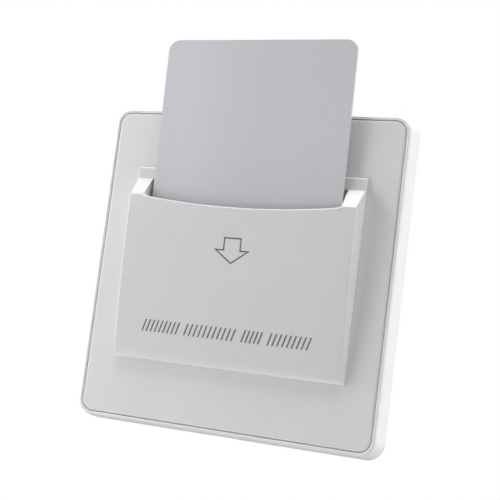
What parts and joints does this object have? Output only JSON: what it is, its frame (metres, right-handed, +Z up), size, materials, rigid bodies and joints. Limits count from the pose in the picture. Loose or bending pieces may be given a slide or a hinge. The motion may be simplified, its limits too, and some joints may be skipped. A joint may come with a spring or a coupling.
{
  "type": "key-card energy-saving switch",
  "caption": "Square wall plate with a card pocket and an inserted key card; an RFID reader behind it switches the room power on while the card is in.",
  "frame": {"origin": "centre of the plate on the wall plane", "axes": "+X to the right seen from the room, +Y into the wall, +Z up"},
  "size_m": [0.086, 0.0386, 0.1037],
  "materials": {
    "trim_plastic": "satin white",
    "panel_plastic": "fine matt white",
    "pocket_plastic": "fine matt white",
    "card_vinyl": "satin laminate",
    "base_plastic": "matt white",
    "board_laminate": "solder mask green",
    "copper": "bare copper",
    "black_moulding": "matt black",
    "steel": "zinc plated",
    "brass": "plated brass",
    "relay_blue": "glossy blue",
    "ferrite": "sintered ferrite",
    "winding_tape": "polyester tape",
    "capacitor_yellow": "glossy box",
    "sleeve_black": "sleeved can",
    "varistor_blue": "dipped epoxy",
    "fuse_brown": "moulded case",
    "terminal_green": "matt green",
    "lens_clear": "clear lens",
    "nylon": "natural nylon"
  },
  "bodies": {
    "wall_unit": {"mounting_base": "base_plastic", "rear_housing": "base_plastic", "main_board": "board_laminate", "antenna_board": "board_laminate", "antenna_coil": "copper", "board_post_1": "nylon", "board_post_2": "nylon", "board_header": "black_moulding", "reader_chip": "black_moulding", "controller_chip": "black_moulding", "bridge_rectifier": "black_moulding", "relay_base": "black_moulding", "crystal": "steel", "mounting_screw_1": "steel", "mounting_screw_2": "steel", "housing_screw_1": "steel", "housing_screw_2": "steel", "housing_screw_3": "steel", "housing_screw_4": "steel", "board_screw_1": "steel", "board_screw_2": "steel", "pocket_led_1": "lens_clear", "pocket_led_2": "lens_clear", "relay_cover": "relay_blue", "transformer_core": "ferrite", "transformer_winding": "winding_tape", "film_capacitor": "capacitor_yellow", "electrolytic_capacitor_1": "sleeve_black", "electrolytic_capacitor_2": "sleeve_black", "varistor": "varistor_blue", "fuse": "fuse_brown", "terminal_block": "terminal_green", "contact_bar_1": "brass", "contact_bar_2": "brass", "contact_bar_3": "brass", "contact_bar_4": "brass"},
    "front_cover": {"trim_frame": "trim_plastic", "front_panel": "panel_plastic", "card_pocket": "pocket_plastic"},
    "card": {"key_card": "card_vinyl"},
    "terminal_screw_1": {"terminal_screw_1": "steel"},
    "clamp_cage_1": {"clamp_cage_1": "steel"},
    "terminal_screw_2": {"terminal_screw_2": "steel"},
    "clamp_cage_2": {"clamp_cage_2": "steel"},
    "terminal_screw_3": {"terminal_screw_3": "steel"},
    "clamp_cage_3": {"clamp_cage_3": "steel"},
    "terminal_screw_4": {"terminal_screw_4": "steel"},
    "clamp_cage_4": {"clamp_cage_4": "steel"}
  },
  "joints": [
    {"name": "cover_unclip", "type": "slide", "parent": "wall_unit", "child": "front_cover", "axis": [0, -1, 0], "range_m": [0, 0.012]},
    {"name": "card_slide", "type": "slide", "parent": "front_cover", "child": "card", "axis": [0, -0.0384, 0.9993], "range_m": [0, 0.055]},
    {"name": "screw_turn_1", "type": "hinge", "parent": "wall_unit", "child": "terminal_screw_1", "pos_m": [-0.00762, 0.0245, -0.0192], "axis": [0, -1, 0], "range_deg": [0, 1080]},
    {"name": "cage_rise_1", "type": "slide", "parent": "wall_unit", "child": "clamp_cage_1", "axis": [0, 1, 0], "range_m": [0, 0.00135]},
    {"name": "screw_turn_2", "type": "hinge", "parent": "wall_unit", "child": "terminal_screw_2", "pos_m": [-0.00254, 0.0245, -0.0192], "axis": [0, -1, 0], "range_deg": [0, 1080]},
    {"name": "cage_rise_2", "type": "slide", "parent": "wall_unit", "child": "clamp_cage_2", "axis": [0, 1, 0], "range_m": [0, 0.00135]},
    {"name": "screw_turn_3", "type": "hinge", "parent": "wall_unit", "child": "terminal_screw_3", "pos_m": [0.00254, 0.0245, -0.0192], "axis": [0, -1, 0], "range_deg": [0, 1080]},
    {"name": "cage_rise_3", "type": "slide", "parent": "wall_unit", "child": "clamp_cage_3", "axis": [0, 1, 0], "range_m": [0, 0.00135]},
    {"name": "screw_turn_4", "type": "hinge", "parent": "wall_unit", "child": "terminal_screw_4", "pos_m": [0.00762, 0.0245, -0.0192], "axis": [0, -1, 0], "range_deg": [0, 1080]},
    {"name": "cage_rise_4", "type": "slide", "parent": "wall_unit", "child": "clamp_cage_4", "axis": [0, 1, 0], "range_m": [0, 0.00135]}
  ],
  "couplings": [
    {"joint": "screw_turn_1", "follows": "cage_rise_1", "rad_per_m": 13963},
    {"joint": "screw_turn_2", "follows": "cage_rise_2", "rad_per_m": 13963},
    {"joint": "screw_turn_3", "follows": "cage_rise_3", "rad_per_m": 13963},
    {"joint": "screw_turn_4", "follows": "cage_rise_4", "rad_per_m": 13963}
  ]
}
